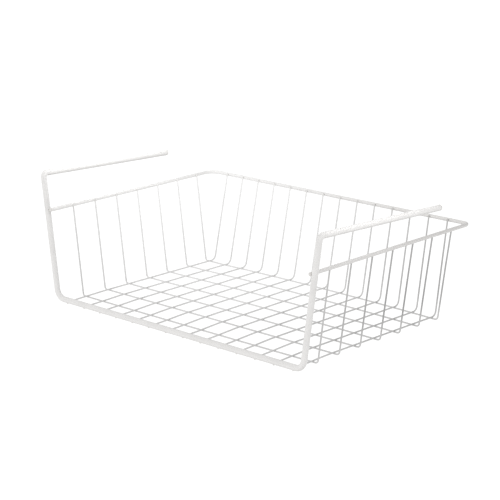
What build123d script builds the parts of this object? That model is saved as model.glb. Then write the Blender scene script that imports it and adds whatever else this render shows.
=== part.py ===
from build123d import *
import math
import os

# Under shelf basket of welded, coated wire
# X runs across the basket, Y from its open front to its back wall, and Z up.
# The origin lies at mid width and mid depth, on the surface that the basket stands on.

# Diameters of the coated wires, and flats round a mesh wire, which measures its diameter across them
frame_wire_diameter = 6.5
rim_wire_diameter = 4.0
mesh_wire_diameter = 1.8
mesh_wire_flats = 10

# Mesh: the long wires run from front to back, the cross wires from side to side below them
long_wire_count = 14
long_wire_pitch = 25.0
cross_wire_count = 7
cross_wire_pitch = 33.4
first_cross_wire_setback = 31.0
back_wall_foot_margin = 7.0
side_wall_foot_margin = 9.5

# The floor lies lower than the bar's axis, and its long wires slope down to pass under the bar
floor_drop = 0.9
front_slope_length = 40.0

# Frame wire: front bar, two uprights that lean outwards and two arms that slide over the shelf
bar_corner_margin = 16.0
upright_flare = 19.0
arm_height = 139.0
arm_length = 193.5
arm_tip_drop = 7.4
arm_tip_spread = 0.8

# Rim wire: level U that carries the tops of the side walls and the back wall, a little wider at the back
rim_height = 99.3
rim_depth = 261.5
rim_back_spread = 3.2
rim_end_overhang = 2.5

# Bend radii, measured on the axis of the wire
bar_bend_radius = 11.0
arm_bend_radius = 8.0
rim_bend_radius = 10.0
front_slope_bend_radius = 60.0
long_wire_bend_radius = 7.0
cross_wire_bend_radius = 5.0

# Cut ends: length of mesh wire beyond the weld at its end, and bevel of the thicker wires' ends
wire_end_overrun = 1.0
frame_end_bevel = 1.0
rim_end_bevel = 0.6


def welded_end(run, rise, seat, side):
    """Slope, run and rise of a wire's straight end, welded to a thicker wire whose axis lies at run and rise.

    The seat is the distance between both axes, and the side is where the end passes, above (1) or below (-1).
    """
    slope = math.atan2(rise, run) + side * math.asin(seat / math.hypot(run, rise))
    length = math.sqrt(run**2 + rise**2 - seat**2) + wire_end_overrun
    return slope, length * math.cos(slope), length * math.sin(slope)


# Sizes that follow from the ones above
frame_radius = frame_wire_diameter / 2
rim_radius = rim_wire_diameter / 2
mesh_radius = mesh_wire_diameter / 2
bar_seat = frame_radius + mesh_radius
rim_seat = rim_radius + mesh_radius
above = 1
below = -1

# The long wires pass below the bar's axis, and their lowest edge or the cross wires' undersides lie at Z zero
front_slope, tip_run, tip_rise = welded_end(front_slope_length, floor_drop, bar_seat, below)
floor_z = max(mesh_radius * math.cos(front_slope) - tip_rise, mesh_wire_diameter + mesh_radius)
bar_z = floor_z + floor_drop
rim_z = bar_z + rim_height
arm_z = bar_z + arm_height

front_y = -(rim_depth + rim_radius - frame_radius) / 2
slope_top_y = front_y + front_slope_length
rim_back_y = front_y + rim_depth
first_cross_wire_y = front_y + first_cross_wire_setback
last_cross_wire_y = first_cross_wire_y + (cross_wire_count - 1) * cross_wire_pitch
back_foot_y = last_cross_wire_y + back_wall_foot_margin

outer_long_wire_x = (long_wire_count - 1) * long_wire_pitch / 2
side_foot_x = outer_long_wire_x + side_wall_foot_margin
bar_corner_x = outer_long_wire_x + bar_corner_margin
arm_x = bar_corner_x + upright_flare

# The rim touches the inner sides of both uprights where it passes them
upright_lean = math.atan2(upright_flare, arm_height)
upright_x_at_rim = bar_corner_x + rim_height * math.tan(upright_lean)
rim_front_x = upright_x_at_rim - (frame_radius + rim_radius) / math.cos(upright_lean)


def rim_x(y):
    """Half width of the rim, on its axis, at a given depth."""
    return rim_front_x + rim_back_spread * (y - front_y) / rim_depth


def cross_wire_z(y):
    """Height of a cross wire on the floor, where it touches the long wires from below."""
    slope_z = floor_z + (slope_top_y - y) * math.tan(front_slope)
    return min(floor_z - mesh_wire_diameter, slope_z - mesh_wire_diameter / math.cos(front_slope))


def start_plane(path, across):
    """Plane square to the start of a wire's axis, turned so that a direction across the wire is its X."""
    return Plane(origin=path @ 0, x_dir=across, z_dir=path % 0)


def mesh_section():
    """Section of a mesh wire, with a flat towards each wire that it crosses or rests on."""
    flat_turn = math.degrees(math.pi / 2 + math.pi / mesh_wire_flats)
    RegularPolygon(mesh_radius, mesh_wire_flats, major_radius=False, rotation=flat_turn)


os.makedirs("parts", exist_ok=True)

# Frame wire: one rod from the left arm's tip, down, along the front bar, up and back to the right arm's tip
with BuildPart() as frame_wire:
    with BuildLine() as frame_path:
        FilletPolyline(
            (-arm_x - arm_tip_spread, front_y + arm_length, arm_z - arm_tip_drop),
            (-arm_x, front_y, arm_z),
            (-bar_corner_x, front_y, bar_z),
            (bar_corner_x, front_y, bar_z),
            (arm_x, front_y, arm_z),
            (arm_x + arm_tip_spread, front_y + arm_length, arm_z - arm_tip_drop),
            radius=(arm_bend_radius, bar_bend_radius, bar_bend_radius, arm_bend_radius),
        )
    with BuildSketch(start_plane(frame_path.line, Axis.X.direction)):
        Circle(frame_radius)
    sweep()
    chamfer(frame_wire.faces().filter_by(GeomType.PLANE).edges(), frame_end_bevel)
frame_wire.part.label = "frame_wire"
export_step(frame_wire.part, "parts/frame_wire.step")

# Rim wire: from the left upright back, across the top of the back wall and forward to the right upright
rim_end_y = front_y - rim_end_overhang
with BuildPart() as rim_wire:
    with BuildLine() as rim_path:
        FilletPolyline(
            (-rim_x(rim_end_y), rim_end_y, rim_z),
            (-rim_x(rim_back_y), rim_back_y, rim_z),
            (rim_x(rim_back_y), rim_back_y, rim_z),
            (rim_x(rim_end_y), rim_end_y, rim_z),
            radius=rim_bend_radius,
        )
    with BuildSketch(start_plane(rim_path.line, Axis.X.direction)):
        Circle(rim_radius)
    sweep()
    chamfer(rim_wire.faces().filter_by(GeomType.PLANE).edges(), rim_end_bevel)
rim_wire.part.label = "rim_wire"
export_step(rim_wire.part, "parts/rim_wire.step")

# Long wires: from under the front bar up a short slope, over the floor, then up the back wall to the rim
_, top_run, top_rise = welded_end(rim_back_y - back_foot_y, rim_z - floor_z, rim_seat, above)
for number in range(long_wire_count):
    wire_x = number * long_wire_pitch - outer_long_wire_x
    with BuildPart() as long_wire:
        with BuildLine() as long_path:
            FilletPolyline(
                (wire_x, slope_top_y - tip_run, floor_z + tip_rise),
                (wire_x, slope_top_y, floor_z),
                (wire_x, back_foot_y, floor_z),
                (wire_x, back_foot_y + top_run, floor_z + top_rise),
                radius=(front_slope_bend_radius, long_wire_bend_radius),
            )
        with BuildSketch(start_plane(long_path.line, Axis.X.direction)):
            mesh_section()
        sweep()
    long_wire.part.label = f"long_wire_{number + 1:02d}"
    export_step(long_wire.part, f"parts/{long_wire.part.label}.step")

# Cross wires: from the rim down the left wall, under the long wires and up the right wall to the rim
for number in range(cross_wire_count):
    wire_y = first_cross_wire_y + number * cross_wire_pitch
    wire_z = cross_wire_z(wire_y)
    _, top_run, top_rise = welded_end(rim_x(wire_y) - side_foot_x, rim_z - wire_z, rim_seat, above)
    with BuildPart() as cross_wire:
        with BuildLine() as cross_path:
            FilletPolyline(
                (-side_foot_x - top_run, wire_y, wire_z + top_rise),
                (-side_foot_x, wire_y, wire_z),
                (side_foot_x, wire_y, wire_z),
                (side_foot_x + top_run, wire_y, wire_z + top_rise),
                radius=cross_wire_bend_radius,
            )
        with BuildSketch(start_plane(cross_path.line, Axis.Y.direction)):
            mesh_section()
        sweep()
    cross_wire.part.label = f"cross_wire_{number + 1:02d}"
    export_step(cross_wire.part, f"parts/{cross_wire.part.label}.step")
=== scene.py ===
"""Under shelf basket of white coated wire: its wires and welds, the stage, the light and the camera."""

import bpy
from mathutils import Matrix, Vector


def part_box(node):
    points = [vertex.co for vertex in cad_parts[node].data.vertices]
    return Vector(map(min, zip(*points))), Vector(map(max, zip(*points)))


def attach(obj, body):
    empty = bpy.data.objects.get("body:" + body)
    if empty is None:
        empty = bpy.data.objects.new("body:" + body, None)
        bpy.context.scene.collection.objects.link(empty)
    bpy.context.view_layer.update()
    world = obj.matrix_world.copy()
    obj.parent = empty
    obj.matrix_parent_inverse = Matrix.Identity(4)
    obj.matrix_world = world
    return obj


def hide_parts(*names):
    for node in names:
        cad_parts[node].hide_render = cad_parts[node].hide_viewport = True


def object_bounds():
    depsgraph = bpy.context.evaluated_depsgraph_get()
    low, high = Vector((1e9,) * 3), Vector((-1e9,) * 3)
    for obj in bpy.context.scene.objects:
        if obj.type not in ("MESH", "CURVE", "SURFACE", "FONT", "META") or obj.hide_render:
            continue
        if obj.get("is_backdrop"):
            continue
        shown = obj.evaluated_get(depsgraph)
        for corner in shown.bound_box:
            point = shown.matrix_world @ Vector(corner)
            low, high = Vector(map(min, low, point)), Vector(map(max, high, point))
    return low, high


bl_info = {
    "name": "Under Shelf Basket",
    "version": (1, 0, 0),
    "blender": (4, 5, 0),
    "location": "View3D > Sidebar > Basket",
    "description": "Coated wires with rounded ends, weld fillets, a pale floor and soft studio light",
    "category": "Object",
}

import math

import bpy
from mathutils import Matrix, Vector, noise

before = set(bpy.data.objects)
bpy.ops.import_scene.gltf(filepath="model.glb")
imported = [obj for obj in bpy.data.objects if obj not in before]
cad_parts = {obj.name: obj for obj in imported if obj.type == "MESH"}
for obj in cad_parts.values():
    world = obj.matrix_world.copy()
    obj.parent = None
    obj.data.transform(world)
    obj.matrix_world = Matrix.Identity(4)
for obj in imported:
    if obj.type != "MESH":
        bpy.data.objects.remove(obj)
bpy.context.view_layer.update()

BODY = "root"
LONG_WIRES = sorted(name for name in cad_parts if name.startswith("long_wire_"))
CROSS_WIRES = sorted(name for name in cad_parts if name.startswith("cross_wire_"))

# Directions of the frame, and the side of a thicker wire on which a thin one is welded to it
RIGHT = Vector((1, 0, 0))
BACK = Vector((0, 1, 0))
UP = Vector((0, 0, 1))
ABOVE = 1
BELOW = -1

# Faces round each wire, and how much its coat swells and shrinks, as a share of its radius
FRAME_SIDES = 48
FRAME_UNEVENNESS = 0.008
RIM_SIDES = 36
RIM_UNEVENNESS = 0.01
MESH_SIDES = 20
MESH_UNEVENNESS = 0.03
LUMPS_PER_METRE = 90

# Distance between the rings of a wire's straight runs, in metres, and the number of rings in a bend
FRAME_RUN_STEP = 0.005
THIN_RUN_STEP = 0.004
THICK_BEND_STEPS = 20
MESH_BEND_STEPS = 14

# Rounding of cut ends: the rim's as a share of the frame's, the thin wires' as a share of their radius
RIM_END_ROUNDING = 0.6
MESH_END_ROUNDING = 0.7

# Reach of a weld's fillet, as a share of the thinner wire's radius
CROSSING_FILLET = 1.1
BAR_FILLET = 1.05
RIM_FILLET = 0.95

# The floor's sag fades up the walls, and has gone at two thirds of their height
SAG_FADING = 1.5

# Places of the coat's painted light and painted shade, and how far each reaches, in metres
PAINTED_LIGHT_PLACE = (-0.11, 0.05, 0.18)
PAINTED_LIGHT_REACH = 0.28
MESH_PAINTED_SHADE_PLACE = (0.21, 0.04, 0.02)
MESH_PAINTED_SHADE_REACH = 0.25
RIM_PAINTED_SHADE_PLACE = (0.18, 0.12, 0.07)
RIM_PAINTED_SHADE_REACH = 0.42

# Places across the basket and heights up its walls between which the thin wires' painted shade changes, in
# metres
SHADE_WIDTHS = (-0.17, 0.17)
SHADE_HEIGHTS = (0.006, 0.03)

# Share of the back right's painted shade that shows on the floor, and how far behind the bar its coat blends
# in
FLOOR_PAINTED_SHADE_SHARE = 0.45
BAR_BLEND = 0.006

# Upward parts of the normal between which the painted shade on an underside fades
UNDERSIDE_NORMALS = (-0.8, -0.05)

# Scales of the coat's noise, per metre, and the ranges of that noise that change the coat
CLOUD_SCALE = 38
RUN_SCALE = 160
SPECK_SCALE = 900
PEEL_SCALE = 1400
CLOUD_RANGE = (0.42, 0.68)
NOISE_RANGE = (0.3, 0.7)

# Largest share of grey in the thin wires' coat, and least share of dullness on a weld or cut end
MESH_CLOUD_SHARE = 0.06
LEAST_WEAR = 0.5

# How much smoother or rougher than given the coat gets, its bumps in metres, and how it bends light
SMOOTHER = 0.05
ROUGHER = 0.07
WAVE_STRENGTH = 0.35
WAVE_DEPTH = 0.00012
GRAIN_STRENGTH = 0.3
GRAIN_DEPTH = 0.00003
COAT_IOR = 1.5


def millimetres(value):
    """A size in metres from one given in millimetres."""
    return value / 1000


def length(label, description, default):
    """A length that a user can change, in metres, with its default in millimetres."""
    return bpy.props.FloatProperty(
        name=label, description=description, default=millimetres(default),
        subtype="DISTANCE", unit="LENGTH", precision=5,
    )


def colour(label, description, default):
    """A surface colour that a user can change."""
    return bpy.props.FloatVectorProperty(
        name=label, description=description, default=default,
        subtype="COLOR", size=3, min=0.0, max=1.0,
    )


def share(label, description, default):
    """A share from 0 to 1 that a user can change."""
    return bpy.props.FloatProperty(
        name=label, description=description, default=default,
        subtype="FACTOR", min=0.0, max=1.0,
    )


class BasketSizes(bpy.types.PropertyGroup):
    """Sizes of the basket's wires, bends and welds."""

    frame_wire: length("Frame Wire", "Diameter of the thick wire with the bar and both arms", 6.5)
    rim_wire: length("Rim Wire", "Diameter of the rim's wire", 4.0)
    mesh_wire: length("Mesh Wire", "Diameter of the thin wires", 1.8)
    bar_half_length: length("Bar Half Length", "From mid width to the corner of the bar", 178.5)
    upright_flare: length("Upright Flare", "How far an upright leans outwards up to its arm", 19.0)
    arm_height: length("Arm Height", "From the bar's axis up to the corner of an arm", 139.0)
    arm_length: length("Arm Length", "From the corner of an arm back to its tip", 193.5)
    arm_tip_drop: length("Arm Tip Drop", "How much lower an arm's tip is than its corner", 7.4)
    arm_tip_spread: length("Arm Tip Spread", "How much further out an arm's tip is than its corner", 0.8)
    rim_height: length("Rim Height", "From the bar's axis up to the rim's axis", 99.3)
    rim_depth: length("Rim Depth", "From the bar's axis back to the rim's back stretch", 261.5)
    rim_back_spread: length("Rim Back Spread", "How much further out the rim's sides are at the back", 2.0)
    rim_end_overhang: length("Rim End Overhang", "Length of rim in front of an upright's axis", 1.7)
    back_foot: length("Back Foot", "From the last cross wire to the foot of the back wall", 6.2)
    left_foot: length("Left Foot", "From mid width to the foot of the left wall", 171.0)
    right_foot_front: length("Right Foot Front", "From mid width to the right wall's foot, in front", 171.4)
    right_foot_back: length("Right Foot Back", "From mid width to the right wall's foot, at the back", 172.8)
    floor_drop: length("Floor Drop", "How much lower the floor's long wires are than the bar's axis", 0.78)
    front_slope: length("Front Slope", "From the bar's axis back to the top of the floor's slope", 56.0)
    front_fall: length("Front Fall", "How far the floor slopes down before its last bend to the bar", 1.35)
    front_kink: length("Front Kink", "From the bar's axis back to the last bend of a long wire", 13.0)
    floor_crown: length("Floor Crown", "How much lower the floor hangs at its sides than at mid width", 1.4)
    back_crown: length("Back Crown", "How much deeper that crown is at the back wall than at mid depth", 0.95)
    floor_twist: length("Floor Twist", "How much lower the back right hangs, and higher the back left", 0.35)
    front_belly: length("Front Belly", "How much lower mid width hangs close behind the bar", 0.9)
    belly_reach: length("Belly Reach", "From the bar's axis back to where that belly has gone", 190.0)
    floor_back_fall: length("Floor Back Fall", "How much lower the floor hangs at the back wall", 0.45)
    left_curl: length("Left Curl", "How much the floor's left edge curls up, away from the bar", 0.6)
    left_curl_reach: length("Left Curl Reach", "Width of the edge that curls up", 34.0)
    floor_shift: length("Floor Shift", "How far the long wires lie to the right on the floor", 1.4)
    top_shift: length("Top Shift", "How far the long wires stand to the right at the rim", 0.8)
    floor_spread: length("Floor Spread", "How much further out the outer long wires lie on the floor", 1.2)
    top_narrowing: length("Top Narrowing", "How much further in the outer long wires stand at the rim", 0.95)
    first_wire_slant: length("First Wire Slant", "How much further left the first wire is at the bar", 1.7)
    bar_bend: length("Bar Bend", "Bend radius between the bar and an upright", 11.0)
    arm_bend: length("Arm Bend", "Bend radius between an upright and its arm", 4.6)
    rim_left_bend: length("Rim Left Bend", "Bend radius of the rim's back left corner", 14.0)
    rim_right_bend: length("Rim Right Bend", "Bend radius of the rim's back right corner", 7.5)
    front_slope_bend: length("Front Slope Bend", "Bend radius at the top of the slope down to the bar", 300.0)
    front_kink_bend: length("Front Kink Bend", "Bend radius of the last bend of a long wire", 40.0)
    long_wire_bend: length("Long Wire Bend", "Bend radius at the foot of the back wall", 7.0)
    left_wall_bend: length("Left Wall Bend", "Bend radius at the foot of the left wall", 3.0)
    right_wall_bend: length("Right Wall Bend", "Bend radius at the foot of the right wall", 4.0)
    end_overrun: length("End Overrun", "Length of a wall wire above its weld on the rim", 1.0)
    bar_overrun: length("Bar Overrun", "Length of a long wire in front of its weld under the bar", 0.8)
    bar_weld_depth: length("Bar Weld Depth", "How deep a long wire is melted into the bar", 0.3)
    mesh_weld_depth: length("Mesh Weld Depth", "How deep a cross wire is melted into the long wires", 0.5)
    left_weld_depth: length("Left Weld Depth", "How deep the left wall's wires melt into the rim", 0.5)
    right_weld_depth: length("Right Weld Depth", "How deep the right wall's wires melt into the rim", 1.2)
    end_rounding: length("End Rounding", "Rounding of the coat round the arms' cut ends", 1.3)


class BasketFinish(bpy.types.PropertyGroup):
    """Colours and gloss of the coats, with their painted light and shade, and the floor's colour."""

    coat: colour("Coat", "Coat of the frame, the rim and the thin wires' front ends", (0.75, 0.74, 0.73))
    coat_shade: colour("Coat Shade", "Coat of the frame and the rim where it is thinner", (0.72, 0.71, 0.70))
    # Painted light: the thin wires turn this near-white round the back left corner
    mesh_coat: colour("Mesh Coat", "The thin wires' coat round the back left corner", (0.96, 0.955, 0.95))
    # Painted shade: grey of the thin wires' coat, from the left to the right of the basket
    mesh_left_painted_shade: colour("Mesh Coat Left", "The thin wires' coat on the left", (0.575, 0.57, 0.565))
    mesh_right_painted_shade: colour("Mesh Coat Right", "The thin wires' coat on the right", (0.655, 0.65, 0.645))
    mesh_shade: colour("Mesh Shade", "Grey that shows faintly where the mesh coat is thin", (0.2, 0.2, 0.2))
    # Painted shade: this tint darkens the undersides of the frame and the rim
    underside_painted_shade: colour("Underside Tint", "Dulls the frame's and rim's undersides", (0.79, 0.785, 0.78))
    # Painted shade: this tint darkens the thin wires at the back right
    back_right_mesh_painted_shade: colour("Mesh Dark Tint", "Dulls the thin wires at the back right", (0.45, 0.45, 0.45))
    # Painted light: the rim turns this lighter colour round the back left corner
    rim_painted_light: colour("Rim Lightest", "The rim's coat round the back left corner", (0.84, 0.835, 0.83))
    # Painted shade: this tint darkens the rim towards the back right
    rim_painted_shade: colour("Rim Dark Tint", "Dulls the rim at the back right", (0.88, 0.875, 0.87))
    weld_tint: colour("Weld Tint", "Dulls the coat over the welds and the cut ends", (0.90, 0.89, 0.87))
    coat_roughness: share("Coat Roughness", "Roughness of the satin coat", 0.36)
    floor: colour("Floor", "Pale floor under the basket", (1.0, 1.0, 1.0))


def welded_end(run, rise, seat, side, overrun):
    """Slope, run and rise of a wire's straight end, welded to a thicker wire whose axis lies at run and rise.

    The seat is the distance between both axes, and the side is where the end passes, above or below.
    """
    slope = math.atan2(rise, run) + side * math.asin(seat / math.hypot(run, rise))
    reach = math.sqrt(run**2 + rise**2 - seat**2) + overrun
    return slope, reach * math.cos(slope), reach * math.sin(slope)


def smooth_step(value):
    """Share from 0 to 1 that starts and ends gently."""
    value = min(max(value, 0.0), 1.0)
    return value * value * (3 - 2 * value)


class Layout:
    """Places of the basket's wires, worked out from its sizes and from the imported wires."""

    def __init__(self, sizes):
        self.sizes = sizes
        self.frame_radius = sizes.frame_wire / 2
        self.rim_radius = sizes.rim_wire / 2
        self.mesh_radius = sizes.mesh_wire / 2
        self.front_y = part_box("frame_wire")[0].y + self.frame_radius
        self.bar_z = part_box("frame_wire")[0].z + self.frame_radius
        self.rim_z = self.bar_z + sizes.rim_height
        self.arm_z = self.bar_z + sizes.arm_height
        self.floor_z = self.bar_z - sizes.floor_drop
        packed_x = [(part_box(name)[0].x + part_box(name)[1].x) / 2 for name in LONG_WIRES]
        outwards = [x / packed_x[-1] for x in packed_x]
        self.long_back_x = [
            x + sizes.floor_shift + sizes.floor_spread * out for x, out in zip(packed_x, outwards)
        ]
        self.long_front_x = [self.long_back_x[0] - sizes.first_wire_slant, *self.long_back_x[1:]]
        self.long_top_x = [
            x + sizes.top_shift - sizes.top_narrowing * out for x, out in zip(packed_x, outwards)
        ]
        self.cross_y = [(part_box(name)[0].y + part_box(name)[1].y) / 2 for name in CROSS_WIRES]
        self.bar_x = sizes.bar_half_length
        self.arm_x = self.bar_x + sizes.upright_flare
        self.lean = math.atan2(sizes.upright_flare, sizes.arm_height)
        upright_at_rim = self.bar_x + sizes.rim_height * math.tan(self.lean)
        self.rim_front_x = upright_at_rim - (self.frame_radius + self.rim_radius) / math.cos(self.lean)
        self.rim_back_y = self.front_y + sizes.rim_depth
        self.slope_top_y = self.front_y + sizes.front_slope
        self.back_foot_y = self.cross_y[-1] + sizes.back_foot
        self.half_floor = (sizes.left_foot + sizes.right_foot_back) / 2
        self.kink_y = self.front_y + sizes.front_kink
        self.kink_z = self.floor_z - sizes.front_fall
        self.front_slope = math.atan2(sizes.front_fall, sizes.front_slope - sizes.front_kink)
        self.tip_slope, self.tip_run, self.tip_rise = welded_end(
            sizes.front_kink, sizes.floor_drop + sizes.front_fall,
            self.frame_radius + self.mesh_radius - sizes.bar_weld_depth, BELOW, sizes.bar_overrun,
        )

    def rim_x(self, y):
        """Half width of the rim, on its axis, at a given depth."""
        return self.rim_front_x + self.sizes.rim_back_spread * (y - self.front_y) / self.sizes.rim_depth

    def long_x(self, number, y):
        """Place across the basket of a long wire, at a given depth of the floor."""
        front_x = self.long_front_x[number]
        back_x = self.long_back_x[number]
        return front_x + (back_x - front_x) * (y - self.front_y) / (self.back_foot_y - self.front_y)

    def cross_z(self, y):
        """Height of a cross wire, welded from below to the level floor or to its front slope."""
        slope_z = self.floor_z - (self.slope_top_y - y) * math.tan(self.front_slope)
        apart = self.sizes.mesh_wire - self.sizes.mesh_weld_depth
        return min(self.floor_z - apart, slope_z - apart / math.cos(self.front_slope))

    def back_top(self):
        """Slope, run and rise of the back wall's wires, from their foot to the rim."""
        run = self.rim_back_y - self.back_foot_y
        rise = self.rim_z - self.floor_z
        return welded_end(run, rise, self.rim_radius + self.mesh_radius, ABOVE, self.sizes.end_overrun)

    def side_top(self, side, y):
        """Foot, slope, run and rise of a side wall's wire, outwards, on the left (-1) or the right (1)."""
        sizes = self.sizes
        foot = sizes.left_foot
        weld_depth = sizes.left_weld_depth
        if side > 0:
            backwards = (y - self.front_y) / (self.rim_back_y - self.front_y)
            foot = sizes.right_foot_front + (sizes.right_foot_back - sizes.right_foot_front) * backwards
            weld_depth = sizes.right_weld_depth
        run = self.rim_x(y) - foot
        rise = self.rim_z - self.cross_z(y)
        seat = self.rim_radius + self.mesh_radius - weld_depth
        return foot, *welded_end(run, rise, seat, ABOVE, sizes.end_overrun)

    def sag(self, point):
        """Shift of a point of the mesh from its level floor: none at the bar and high up the walls."""
        sizes = self.sizes
        sideways = point.x / self.half_floor
        backwards = point.y / self.rim_back_y
        behind_bar = point.y - self.front_y
        fall = (sizes.floor_crown + sizes.back_crown * backwards) * sideways**2
        fall += (sizes.floor_back_fall + sizes.floor_twist * sideways) * backwards
        curled = smooth_step((-point.x - self.half_floor + sizes.left_curl_reach) / sizes.left_curl_reach)
        fall -= sizes.left_curl * curled * smooth_step(0.5 + backwards / 2)
        fall *= smooth_step(behind_bar / sizes.front_slope)
        belly = sizes.front_belly * (1 - sideways**2) * max(1 - behind_bar / sizes.belly_reach, 0)
        fall += belly * smooth_step(behind_bar / sizes.front_kink / 2)
        up_wall = smooth_step((point.z - self.floor_z) / (self.rim_z - self.floor_z) * SAG_FADING)
        return Vector((0, 0, -fall * (1 - up_wall)))


def wire_axis(corners, bend_radii, run_step, bend_steps):
    """Points along the axis of a bent wire: straight runs joined by round bends."""
    corners = [Vector(corner) for corner in corners]
    axis = [corners[0]]

    def run_to(end):
        start = axis[-1]
        steps = max(1, round((end - start).length / run_step))
        axis.extend(start.lerp(end, step / steps) for step in range(1, steps + 1))

    for before, corner, after, radius in zip(corners, corners[1:], corners[2:], bend_radii):
        arriving = (corner - before).normalized()
        leaving = (after - corner).normalized()
        turn = arriving.angle(leaving)
        start = corner - arriving * radius * math.tan(turn / 2)
        inwards = (leaving - arriving * arriving.dot(leaving)).normalized()
        centre = start + inwards * radius
        run_to(start)
        for step in range(1, bend_steps + 1):
            angle = turn * step / bend_steps
            axis.append(centre - inwards * radius * math.cos(angle) + arriving * radius * math.sin(angle))
    run_to(corners[-1])
    return axis


def coated_wire(name, axis, radius, rounding, sides, unevenness):
    """Round wire along an axis, with rounded cut ends and a coat of slightly uneven thickness."""
    tangents = [
        (axis[min(place + 1, len(axis) - 1)] - axis[max(place - 1, 0)]).normalized()
        for place in range(len(axis))
    ]
    across = tangents[0].orthogonal().normalized()
    rings = []
    for point, tangent in zip(axis, tangents):
        across = (across - tangent * across.dot(tangent)).normalized()
        rings.append((point, across.copy(), tangent.cross(across), radius, 0.0))

    first, last = rings[0], rings[-1]
    cap_steps = 5
    start_cap = []
    end_cap = []
    for step in range(cap_steps + 1):
        angle = math.radians(90) * step / cap_steps
        cap_radius = radius - rounding * (1 - math.cos(angle))
        outwards = rounding * (math.sin(angle) - 1)
        start_cap.append((first[0] - tangents[0] * outwards, first[1], first[2], cap_radius, 1.0))
        end_cap.append((last[0] + tangents[-1] * outwards, last[1], last[2], cap_radius, 1.0))
    clear_of_caps = rounding * 1.2
    clear_of_start = [ring for ring in rings[1:-1] if (ring[0] - axis[0]).length > clear_of_caps]
    body = [ring for ring in clear_of_start if (ring[0] - axis[-1]).length > clear_of_caps]
    rings = start_cap[::-1] + body + end_cap

    vertices, faces, at_ends = [], [], []
    for centre, across, other, ring_radius, at_end in rings:
        for corner in range(sides):
            angle = 2 * math.pi * corner / sides
            away = across * math.cos(angle) + other * math.sin(angle)
            place = centre + away * ring_radius
            swell = noise.noise(place * LUMPS_PER_METRE) * unevenness * ring_radius
            vertices.append(place + away * swell)
            at_ends.append(at_end)
    for ring in range(len(rings) - 1):
        for corner in range(sides):
            here = ring * sides + corner
            beside = ring * sides + (corner + 1) % sides
            faces.append((here, here + sides, beside + sides, beside))

    start_tip = len(vertices)
    end_tip = start_tip + 1
    last_ring = (len(rings) - 1) * sides
    vertices += [rings[0][0], rings[-1][0]]
    at_ends += [1.0, 1.0]
    for corner in range(sides):
        beside = (corner + 1) % sides
        faces.append((start_tip, corner, beside))
        faces.append((end_tip, last_ring + beside, last_ring + corner))
    return smooth_object(name, vertices, faces, at_ends)


def smooth_object(name, vertices, faces, weld_share):
    """Smooth object from vertices and faces, with the share of weld or cut end at each vertex."""
    mesh = bpy.data.meshes.new(name)
    mesh.from_pydata([tuple(vertex) for vertex in vertices], [], faces)
    mesh.update()
    mesh.polygons.foreach_set("use_smooth", [True] * len(mesh.polygons))
    near_weld = mesh.attributes.new("near_weld", "FLOAT", "POINT")
    near_weld.data.foreach_set("value", weld_share)
    piece = bpy.data.objects.new(name, mesh)
    bpy.context.scene.collection.objects.link(piece)
    return piece


def weld_fillet(vertices, faces, contact, out, along_a, radius_a, along_b, radius_b, reach):
    """Adds the coat that fills the corner where two wires touch, with out pointing from a to b."""
    turns = 20
    rows = 7
    sink = 0.02
    neck = reach * 0.42
    first = len(vertices)
    across_a = out.cross(along_a).normalized()
    across_b = out.cross(along_b).normalized()
    east = along_a.normalized()
    north = out.cross(east)

    def height(offset, across, radius):
        return radius - math.sqrt(max(radius**2 - offset.dot(across) ** 2, 0.0))

    for turn in range(turns):
        angle = 2 * math.pi * turn / turns
        ray = east * math.cos(angle) + north * math.sin(angle)
        far, near = ray * reach, ray * neck
        knots = (
            far - out * (height(far, across_a, radius_a) + sink * reach),
            near - out * height(near, across_a, radius_a),
            near + out * height(near, across_b, radius_b),
            far + out * (height(far, across_b, radius_b) + sink * reach),
        )
        for row in range(rows):
            share_up = row / (rows - 1)
            down = 1 - share_up
            weights = (down**3, 3 * down**2 * share_up, 3 * down * share_up**2, share_up**3)
            vertices.append(contact + sum((knot * weight for knot, weight in zip(knots, weights)), Vector()))
    for turn in range(turns):
        here = first + turn * rows
        beside = first + (turn + 1) % turns * rows
        for row in range(rows - 1):
            faces.append((here + row, beside + row, beside + row + 1, here + row + 1))


def rest(piece, slot, *nodes):
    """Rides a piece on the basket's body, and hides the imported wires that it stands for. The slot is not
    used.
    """
    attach(piece, BODY)
    for node in nodes:
        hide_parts(node)


def layout():
    """Layout from the sizes in the scene."""
    return Layout(bpy.context.scene.basket_sizes)


def new_material(name):
    """Empty node material with its shader and output."""
    material = bpy.data.materials.get(name)
    if material is None:
        material = bpy.data.materials.new(name)
    material.use_nodes = True
    tree = material.node_tree
    tree.nodes.clear()
    output = tree.nodes.new("ShaderNodeOutputMaterial")
    shader = tree.nodes.new("ShaderNodeBsdfPrincipled")
    tree.links.new(shader.outputs["BSDF"], output.inputs["Surface"])
    return material, tree, shader


def noise_node(tree, coordinates, scale, detail):
    """Noise of a given scale, per metre, at the object's own coordinates."""
    node = tree.nodes.new("ShaderNodeTexNoise")
    node.inputs["Scale"].default_value = scale
    node.inputs["Detail"].default_value = detail
    tree.links.new(coordinates.outputs["Object"], node.inputs["Vector"])
    return node


def mix_colour(tree, factor, first, second, blend="MIX"):
    """Mix or product of two colours, each a constant or another node's output."""
    node = tree.nodes.new("ShaderNodeMix")
    node.data_type = "RGBA"
    node.blend_type = blend
    tree.links.new(factor, node.inputs["Factor"])
    for socket, value in ((node.inputs["A"], first), (node.inputs["B"], second)):
        if isinstance(value, bpy.types.NodeSocket):
            tree.links.new(value, socket)
        else:
            socket.default_value = (*value, 1.0)
    return node.outputs["Result"]


def product(tree, first, second):
    """Product of two values."""
    node = tree.nodes.new("ShaderNodeMath")
    node.operation = "MULTIPLY"
    tree.links.new(first, node.inputs[0])
    tree.links.new(second, node.inputs[1])
    return node.outputs["Value"]


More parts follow.
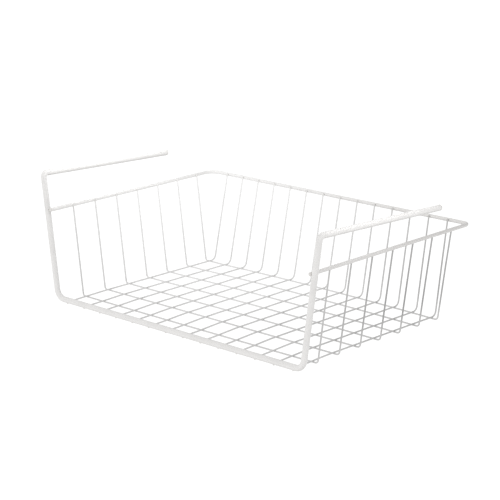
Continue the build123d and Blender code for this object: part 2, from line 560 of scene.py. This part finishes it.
def ramp(tree, source, low, high, first, second):
    """Maps a range of a value to another range, with smooth ends."""
    node = tree.nodes.new("ShaderNodeMapRange")
    node.interpolation_type = "SMOOTHSTEP"
    for socket, value in zip(("From Min", "From Max", "To Min", "To Max"), (low, high, first, second)):
        node.inputs[socket].default_value = value
    tree.links.new(source, node.inputs["Value"])
    return node.outputs["Result"]


def nearness(tree, coordinates, place, reach):
    """Share that falls from 1 at a place to 0 at its reach."""
    distance = tree.nodes.new("ShaderNodeVectorMath")
    distance.operation = "DISTANCE"
    distance.inputs[1].default_value = place
    tree.links.new(coordinates.outputs["Object"], distance.inputs[0])
    return ramp(tree, distance.outputs["Value"], 0.0, reach, 1.0, 0.0)


def component(tree, vector, axis):
    """One component of a vector."""
    node = tree.nodes.new("ShaderNodeSeparateXYZ")
    tree.links.new(vector, node.inputs["Vector"])
    return node.outputs[axis]


def bump(tree, height, strength, depth):
    """Bump of a given strength and depth, in metres."""
    node = tree.nodes.new("ShaderNodeBump")
    node.inputs["Strength"].default_value = strength
    node.inputs["Distance"].default_value = depth
    tree.links.new(height, node.inputs["Height"])
    return node


def thick_colour(tree, coordinates, cloud, finish, kind):
    """Colour of the frame's or the rim's coat, with painted shade on the undersides, and on the rim painted
    light at the back left and painted shade at the back right.
    """
    base = mix_colour(tree, ramp(tree, cloud, *CLOUD_RANGE, 0.0, 1.0), finish.coat, finish.coat_shade)
    upward_part = component(tree, coordinates.outputs["Normal"], "Z")
    # Painted shade on the undersides: faces that point down get the underside tint
    downwards = ramp(tree, upward_part, *UNDERSIDE_NORMALS, 1.0, 0.0)
    base = mix_colour(tree, downwards, base, finish.underside_painted_shade, "MULTIPLY")
    if kind == "rim":
        # Painted light on the rim round the back left corner
        painted_light_share = nearness(tree, coordinates, PAINTED_LIGHT_PLACE, PAINTED_LIGHT_REACH)
        base = mix_colour(tree, painted_light_share, base, finish.rim_painted_light)
        # Painted shade on the rim at the back right
        painted_shade_share = nearness(tree, coordinates, RIM_PAINTED_SHADE_PLACE, RIM_PAINTED_SHADE_REACH)
        base = mix_colour(tree, painted_shade_share, base, finish.rim_painted_shade, "MULTIPLY")
    return base


def mesh_colour(tree, coordinates, cloud, finish):
    """Colour of the thin wires' coat: grey painted shade that changes from left to right, painted light at
    the back left, and deepest painted shade on the walls at the back right.
    """
    place = coordinates.outputs["Object"]
    painted_light_share = nearness(tree, coordinates, PAINTED_LIGHT_PLACE, PAINTED_LIGHT_REACH)
    # Painted shade: the thin wires' grey changes from left to right
    to_right = ramp(tree, component(tree, place, "X"), *SHADE_WIDTHS, 0.0, 1.0)
    base = mix_colour(tree, to_right, finish.mesh_left_painted_shade, finish.mesh_right_painted_shade)
    # Painted light on the thin wires round the back left corner
    base = mix_colour(tree, painted_light_share, base, finish.mesh_coat)
    # Painted shade, deepest on the walls at the back right and weaker on the floor
    up_wall = ramp(tree, component(tree, place, "Z"), *SHADE_HEIGHTS, FLOOR_PAINTED_SHADE_SHARE, 1.0)
    painted_shade_share = product(tree, nearness(tree, coordinates, MESH_PAINTED_SHADE_PLACE, MESH_PAINTED_SHADE_REACH), up_wall)
    base = mix_colour(tree, painted_shade_share, base, finish.back_right_mesh_painted_shade, "MULTIPLY")
    base = mix_colour(tree, ramp(tree, cloud, *CLOUD_RANGE, 0.0, MESH_CLOUD_SHARE), base, finish.mesh_shade)
    bar_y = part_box("frame_wire")[0].y + bpy.context.scene.basket_sizes.frame_wire / 2
    at_bar = ramp(tree, component(tree, place, "Y"), bar_y, bar_y + BAR_BLEND, 1.0, 0.0)
    return mix_colour(tree, at_bar, base, finish.coat)


def satin_coat(name, kind, finish):
    """White powder coat: fine orange peel, slow changes of thickness, and duller welds and cut ends."""
    material, tree, shader = new_material(name)
    coordinates = tree.nodes.new("ShaderNodeTexCoord")
    cloud = noise_node(tree, coordinates, CLOUD_SCALE, 3).outputs["Fac"]
    speckle = noise_node(tree, coordinates, SPECK_SCALE, 2).outputs["Fac"]
    peel = noise_node(tree, coordinates, PEEL_SCALE, 1).outputs["Fac"]
    runs = noise_node(tree, coordinates, RUN_SCALE, 2).outputs["Fac"]
    if kind == "mesh":
        base = mesh_colour(tree, coordinates, cloud, finish)
    else:
        base = thick_colour(tree, coordinates, cloud, finish, kind)
    near_weld = tree.nodes.new("ShaderNodeAttribute")
    near_weld.attribute_name = "near_weld"
    worn = product(tree, near_weld.outputs["Fac"], ramp(tree, speckle, *NOISE_RANGE, LEAST_WEAR, 1.0))
    tree.links.new(mix_colour(tree, worn, base, finish.weld_tint, "MULTIPLY"), shader.inputs["Base Color"])
    smoothest = finish.coat_roughness - SMOOTHER
    roughest = finish.coat_roughness + ROUGHER
    tree.links.new(ramp(tree, runs, *NOISE_RANGE, smoothest, roughest), shader.inputs["Roughness"])
    waves = bump(tree, runs, WAVE_STRENGTH, WAVE_DEPTH)
    grain = bump(tree, peel, GRAIN_STRENGTH, GRAIN_DEPTH)
    tree.links.new(waves.outputs["Normal"], grain.inputs["Normal"])
    tree.links.new(grain.outputs["Normal"], shader.inputs["Normal"])
    shader.inputs["IOR"].default_value = COAT_IOR
    return material


def coat_for(kind):
    """Coat of the frame, the rim or the mesh, made once."""
    name = f"white_{kind}_coat"
    if name in bpy.data.materials:
        return bpy.data.materials[name]
    return satin_coat(name, kind, bpy.context.scene.basket_finish)


class BASKET_OT_frame_wire(bpy.types.Operator):
    """Build the thick wire with the front bar, both uprights and both arms"""

    bl_idname = "basket.frame_wire"
    bl_label = "Frame Wire"

    def execute(self, context):
        sizes, place = context.scene.basket_sizes, layout()
        tip_x = place.arm_x + sizes.arm_tip_spread
        tip_y = place.front_y + sizes.arm_length
        tip_z = place.arm_z - sizes.arm_tip_drop
        axis = wire_axis(
            [
                (-tip_x, tip_y, tip_z),
                (-place.arm_x, place.front_y, place.arm_z),
                (-place.bar_x, place.front_y, place.bar_z),
                (place.bar_x, place.front_y, place.bar_z),
                (place.arm_x, place.front_y, place.arm_z),
                (tip_x, tip_y, tip_z),
            ],
            (sizes.arm_bend, sizes.bar_bend, sizes.bar_bend, sizes.arm_bend),
            FRAME_RUN_STEP, THICK_BEND_STEPS,
        )
        piece = coated_wire(
            "frame_wire_coated", axis, place.frame_radius, sizes.end_rounding,
            FRAME_SIDES, FRAME_UNEVENNESS,
        )
        piece.data.materials.append(coat_for("frame"))
        rest(piece, "frame_coat", "frame_wire")
        return {"FINISHED"}


class BASKET_OT_rim_wire(bpy.types.Operator):
    """Build the rim that goes round both sides and the back"""

    bl_idname = "basket.rim_wire"
    bl_label = "Rim Wire"

    def execute(self, context):
        sizes, place = context.scene.basket_sizes, layout()
        end_y = place.front_y - sizes.rim_end_overhang
        back_x = place.rim_x(place.rim_back_y)
        axis = wire_axis(
            [
                (-place.rim_x(end_y), end_y, place.rim_z),
                (-back_x, place.rim_back_y, place.rim_z),
                (back_x, place.rim_back_y, place.rim_z),
                (place.rim_x(end_y), end_y, place.rim_z),
            ],
            (sizes.rim_left_bend, sizes.rim_right_bend),
            THIN_RUN_STEP, THICK_BEND_STEPS,
        )
        piece = coated_wire(
            "rim_wire_coated", axis, place.rim_radius, sizes.end_rounding * RIM_END_ROUNDING,
            RIM_SIDES, RIM_UNEVENNESS,
        )
        piece.data.materials.append(coat_for("rim"))
        rest(piece, "rim_coat", "rim_wire")
        return {"FINISHED"}


def mesh_wire(place, node, corners, bend_radii):
    """Thin wire through its corners, hung with the sagging floor, in place of a packed wire."""
    axis = wire_axis(corners, bend_radii, THIN_RUN_STEP, MESH_BEND_STEPS)
    axis = [point + place.sag(point) for point in axis]
    piece = coated_wire(
        node + "_coated", axis, place.mesh_radius, place.mesh_radius * MESH_END_ROUNDING,
        MESH_SIDES, MESH_UNEVENNESS,
    )
    piece.data.materials.append(coat_for("mesh"))
    rest(piece, "mesh_coat", node)


class BASKET_OT_long_wires(bpy.types.Operator):
    """Build the wires that run from under the bar back over the floor and up the back wall"""

    bl_idname = "basket.long_wires"
    bl_label = "Long Wires"

    def execute(self, context):
        sizes, place = context.scene.basket_sizes, layout()
        _, top_run, top_rise = place.back_top()
        for number, node in enumerate(LONG_WIRES):
            corners = [
                (place.long_front_x[number], place.kink_y - place.tip_run, place.kink_z + place.tip_rise),
                (place.long_x(number, place.kink_y), place.kink_y, place.kink_z),
                (place.long_x(number, place.slope_top_y), place.slope_top_y, place.floor_z),
                (place.long_back_x[number], place.back_foot_y, place.floor_z),
                (place.long_top_x[number], place.back_foot_y + top_run, place.floor_z + top_rise),
            ]
            bend_radii = (sizes.front_kink_bend, sizes.front_slope_bend, sizes.long_wire_bend)
            mesh_wire(place, node, corners, bend_radii)
        return {"FINISHED"}


class BASKET_OT_cross_wires(bpy.types.Operator):
    """Build the wires that run down the left wall, under the long wires and up the right wall"""

    bl_idname = "basket.cross_wires"
    bl_label = "Cross Wires"

    def execute(self, context):
        sizes, place = context.scene.basket_sizes, layout()
        for node, y in zip(CROSS_WIRES, place.cross_y):
            floor_z = place.cross_z(y)
            left_foot, _, left_run, left_rise = place.side_top(-1, y)
            right_foot, _, right_run, right_rise = place.side_top(1, y)
            corners = [
                (-left_foot - left_run, y, floor_z + left_rise),
                (-left_foot, y, floor_z),
                (right_foot, y, floor_z),
                (right_foot + right_run, y, floor_z + right_rise),
            ]
            mesh_wire(place, node, corners, (sizes.left_wall_bend, sizes.right_wall_bend))
        return {"FINISHED"}


def weld_piece(name, kind, slot, vertices, faces):
    """One piece of coat from the fillets of like welds."""
    piece = smooth_object(name, vertices, faces, [1.0] * len(vertices))
    piece.data.materials.append(coat_for(kind))
    rest(piece, slot)


def floor_welds(place):
    """Welds of the long wires on the cross wires."""
    thin = place.mesh_radius
    vertices, faces = [], []
    for number in range(len(LONG_WIRES)):
        for y in place.cross_y:
            contact_z = place.cross_z(y) + thin - place.sizes.mesh_weld_depth / 2
            contact = Vector((place.long_x(number, y), y, contact_z))
            contact += place.sag(contact)
            weld_fillet(vertices, faces, contact, UP, RIGHT, thin, BACK, thin, thin * CROSSING_FILLET)
    weld_piece("floor_welds", "mesh", "mesh_coat", vertices, faces)


def bar_welds(place):
    """Welds of the long wires under the bar."""
    thin, thick = place.mesh_radius, place.frame_radius
    slope = place.tip_slope
    wire = Vector((0, math.cos(slope), -math.sin(slope)))
    out = Vector((0, math.sin(slope), math.cos(slope)))
    vertices, faces = [], []
    for x in place.long_front_x:
        contact = Vector((x, place.front_y, place.bar_z)) - out * (thick - place.sizes.bar_weld_depth)
        weld_fillet(vertices, faces, contact, out, wire, thin, RIGHT, thick, thin * BAR_FILLET)
    weld_piece("bar_welds", "mesh", "mesh_coat", vertices, faces)


def rim_welds(place):
    """Welds of the back wall's and both side walls' wires on the rim."""
    thin, rim = place.mesh_radius, place.rim_radius
    slope, _, _ = place.back_top()
    wall = Vector((0, math.cos(slope), math.sin(slope)))
    out = Vector((0, -math.sin(slope), math.cos(slope)))
    vertices, faces = [], []
    for x in place.long_top_x:
        contact = Vector((x, place.rim_back_y, place.rim_z)) + out * rim
        weld_fillet(vertices, faces, contact, out, RIGHT, rim, wall, thin, thin * RIM_FILLET)
    for side in (-1, 1):
        for y in place.cross_y:
            _, slope, _, _ = place.side_top(side, y)
            wall = Vector((side * math.cos(slope), 0, math.sin(slope)))
            out = Vector((-side * math.sin(slope), 0, math.cos(slope)))
            contact = Vector((side * place.rim_x(y), y, place.rim_z)) + out * rim
            weld_fillet(vertices, faces, contact, out, BACK, rim, wall, thin, thin * RIM_FILLET)
    weld_piece("rim_welds", "mesh", "mesh_coat", vertices, faces)


def upright_welds(place):
    """Welds of the rim to both uprights."""
    rim, thick = place.rim_radius, place.frame_radius
    lean = place.lean
    vertices, faces = [], []
    for side in (-1, 1):
        upright = Vector((side * math.sin(lean), 0, math.cos(lean)))
        out = Vector((-side * math.cos(lean), 0, math.sin(lean)))
        contact = Vector((side * place.rim_front_x, place.front_y, place.rim_z)) - out * rim
        weld_fillet(vertices, faces, contact, out, upright, thick, BACK, rim, rim * RIM_FILLET)
    weld_piece("upright_welds", "rim", "rim_coat", vertices, faces)


class BASKET_OT_welds(bpy.types.Operator):
    """Fill the corners where the wires are welded with the coat that runs into them"""

    bl_idname = "basket.welds"
    bl_label = "Weld Fillets"

    def execute(self, context):
        place = layout()
        floor_welds(place)
        bar_welds(place)
        rim_welds(place)
        upright_welds(place)
        return {"FINISHED"}


def pale_floor(tint):
    """Flat pale floor at the height of the lowest wire, lit evenly and faintly mottled."""
    floor_half = 7.0
    floor_steps = 14
    lowest_wire = min(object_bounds()[0][2], 0.0)
    vertices, faces = [], []
    for row in range(floor_steps + 1):
        for column in range(floor_steps + 1):
            vertices.append(Vector((
                floor_half * (2 * column / floor_steps - 1),
                floor_half * (2 * row / floor_steps - 1),
                lowest_wire,
            )))
    for row in range(floor_steps):
        for column in range(floor_steps):
            here = row * (floor_steps + 1) + column
            faces.append((here, here + 1, here + floor_steps + 2, here + floor_steps + 1))
    floor = smooth_object("floor", vertices, faces, [0.0] * len(vertices))

    mottle_scale = 2.5
    duller = [channel * 0.995 for channel in tint]
    material, tree, shader = new_material("pale_floor")
    coordinates = tree.nodes.new("ShaderNodeTexCoord")
    mottle = noise_node(tree, coordinates, mottle_scale, 2)
    pale = mix_colour(tree, mottle.outputs["Fac"], tint, duller)
    tree.links.new(pale, shader.inputs["Emission Color"])
    shader.inputs["Emission Strength"].default_value = 1.0
    shader.inputs["Base Color"].default_value = (0.08, 0.08, 0.08, 1.0)
    shader.inputs["Roughness"].default_value = 0.9
    floor.data.materials.append(material)
    floor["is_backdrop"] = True


def studio_glow(scene):
    """White surroundings that are brightest in front of the basket."""
    brightest_side = Vector((-0.1, -0.95, 0.12)).normalized()
    glow_change = 0.36
    mean_glow = 0.77
    world = bpy.data.worlds.new("studio")
    world.use_nodes = True
    tree = world.node_tree
    background = tree.nodes["Background"]
    background.inputs["Color"].default_value = (1.0, 1.0, 1.0, 1.0)
    coordinates = tree.nodes.new("ShaderNodeTexCoord")
    towards = tree.nodes.new("ShaderNodeVectorMath")
    towards.operation = "DOT_PRODUCT"
    towards.inputs[1].default_value = brightest_side
    tree.links.new(coordinates.outputs["Generated"], towards.inputs[0])
    glow = tree.nodes.new("ShaderNodeMath")
    glow.operation = "MULTIPLY_ADD"
    glow.inputs[1].default_value = glow_change
    glow.inputs[2].default_value = mean_glow
    tree.links.new(towards.outputs["Value"], glow.inputs[0])
    tree.links.new(glow.outputs["Value"], background.inputs["Strength"])
    scene.world = world


def softbox(scene, name, place, aim, width, depth, power):
    """Soft lamp at a place, which shines at its aim and isn't seen itself."""
    light = bpy.data.lights.new(name, "AREA")
    light.shape = "RECTANGLE"
    light.size = width
    light.size_y = depth
    light.energy = power
    lamp = bpy.data.objects.new(name, light)
    lamp.location = place
    lamp.rotation_euler = (Vector(aim) - Vector(place)).to_track_quat("-Z", "Y").to_euler()
    lamp.visible_camera = False
    scene.collection.objects.link(lamp)


def photo_camera(scene):
    """Camera at the photograph's angle and distance."""
    photo_side = 500
    focal_pixels = 1682.58
    azimuth = math.radians(41.937)
    elevation = math.radians(15.477)
    roll = math.radians(0.164)
    aim = Vector((0.00054, -0.010125, 0.069074))
    distance = 1.82932
    camera_data = bpy.data.cameras.new("photo_camera")
    camera_data.sensor_width = 36.0
    camera_data.lens = focal_pixels / photo_side * camera_data.sensor_width
    camera_data.clip_end = 60.0
    camera = bpy.data.objects.new("photo_camera", camera_data)
    backwards = Vector((
        math.sin(azimuth) * math.cos(elevation),
        -math.cos(azimuth) * math.cos(elevation),
        math.sin(elevation),
    ))
    rightwards = UP.cross(backwards).normalized()
    upwards = backwards.cross(rightwards)
    turned_right = rightwards * math.cos(roll) + upwards * math.sin(roll)
    turned_up = upwards * math.cos(roll) - rightwards * math.sin(roll)
    turn = Matrix((turned_right, turned_up, backwards)).transposed().to_4x4()
    camera.matrix_world = Matrix.Translation(aim + backwards * distance) @ turn
    scene.collection.objects.link(camera)
    scene.camera = camera
    scene.view_settings.view_transform = "Standard"


class BASKET_OT_stage(bpy.types.Operator):
    """Build the pale floor, the soft studio light and the camera"""

    bl_idname = "basket.stage"
    bl_label = "Stage"

    def execute(self, context):
        scene = context.scene
        pale_floor(scene.basket_finish.floor)
        studio_glow(scene)
        softbox(scene, "top_softbox", (-0.1, 0.08, 0.44), (-0.1, 0.05, 0.0), 0.4, 0.4, 0.35)
        softbox(scene, "left_strip", (-0.174, -0.034, 0.187), (-0.2, -0.034, 0.142), 0.2, 0.03, 0.042)
        softbox(scene, "right_strip", (0.224, -0.034, 0.187), (0.198, -0.034, 0.142), 0.2, 0.03, 0.036)
        photo_camera(scene)
        return {"FINISHED"}


class BASKET_PT_sidebar(bpy.types.Panel):
    """Lists the steps that build the basket, with its sizes and colours"""

    bl_idname = "BASKET_PT_sidebar"
    bl_label = "Under Shelf Basket"
    bl_space_type = "VIEW_3D"
    bl_region_type = "UI"
    bl_category = "Basket"

    def draw(self, context):
        layout_column = self.layout.column()
        for operator in OPERATORS:
            layout_column.operator(operator.bl_idname)
        for group in (context.scene.basket_sizes, context.scene.basket_finish):
            box = self.layout.box()
            for name in group.__annotations__:
                box.prop(group, name)


OPERATORS = (
    BASKET_OT_frame_wire,
    BASKET_OT_rim_wire,
    BASKET_OT_long_wires,
    BASKET_OT_cross_wires,
    BASKET_OT_welds,
    BASKET_OT_stage,
)
CLASSES = (BasketSizes, BasketFinish, *OPERATORS, BASKET_PT_sidebar)


def register():
    for cls in CLASSES:
        bpy.utils.register_class(cls)
    bpy.types.Scene.basket_sizes = bpy.props.PointerProperty(type=BasketSizes)
    bpy.types.Scene.basket_finish = bpy.props.PointerProperty(type=BasketFinish)


def unregister():
    del bpy.types.Scene.basket_finish
    del bpy.types.Scene.basket_sizes
    for cls in reversed(CLASSES):
        bpy.utils.unregister_class(cls)


def main():
    register()
    bpy.ops.basket.frame_wire()
    bpy.ops.basket.rim_wire()
    bpy.ops.basket.long_wires()
    bpy.ops.basket.cross_wires()
    bpy.ops.basket.welds()
    bpy.ops.basket.stage()


if __name__ == "__main__":
    main()
